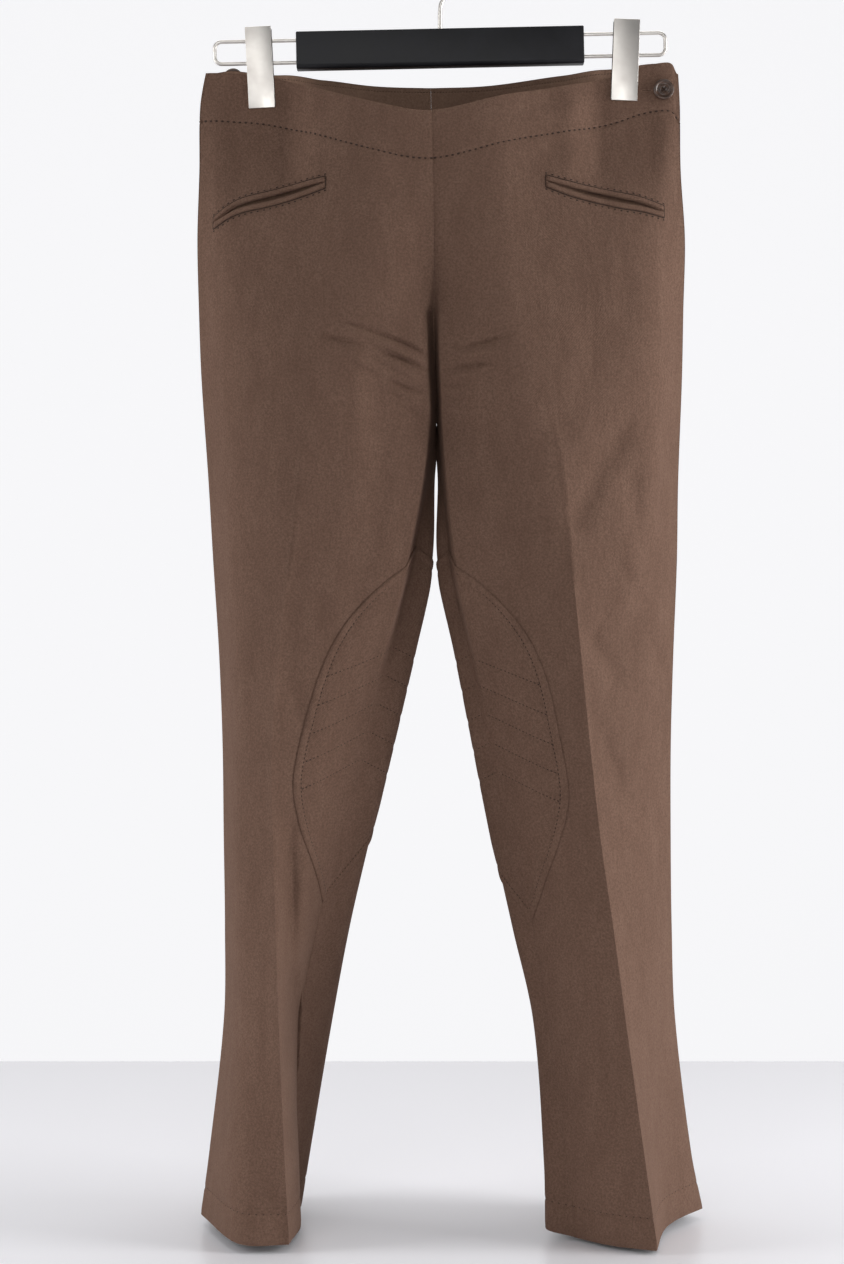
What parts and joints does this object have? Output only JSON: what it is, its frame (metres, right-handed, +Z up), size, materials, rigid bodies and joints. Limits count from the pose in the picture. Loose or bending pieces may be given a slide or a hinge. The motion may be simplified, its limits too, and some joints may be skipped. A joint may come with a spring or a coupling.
{
  "type": "wool trousers on a clip hanger",
  "caption": "Brown wool twill trousers with slanted welt pockets and knee patches, hung by the waist from a hanger with two metal clips",
  "frame": {"origin": "on the inside of the hook, where a rail touches it", "axes": "+X to the wearer's left (right in the picture), -Y to the front, +Z up; the trousers hang down along -Z"},
  "size_m": [0.4447, 0.2, 1.1218],
  "materials": {
    "wool": "matt brown wool twill",
    "wool_inside": "matt brown wool, darker inside",
    "horn": "dark brown, horn look",
    "black_bar": "satin black",
    "steel": "satin nickel-plated steel"
  },
  "bodies": {
    "root": {"back_button": "horn", "back_facing_left": "wool_inside", "back_facing_right": "wool_inside", "back_left": "wool", "back_right": "wool", "clip_left": "steel", "clip_right": "steel", "front_button": "horn", "front_left": "wool", "front_right": "wool", "hanger_bar": "black_bar", "hanger_hook": "steel", "knee_patch_left": "wool", "knee_patch_right": "wool", "pocket_facing_left": "wool_inside", "pocket_facing_right": "wool_inside", "pocket_lower_jet_left": "wool", "pocket_lower_jet_right": "wool", "pocket_upper_jet_left": "wool", "pocket_upper_jet_right": "wool", "wire_loop_left": "steel", "wire_loop_right": "steel"}
  },
  "joints": []
}
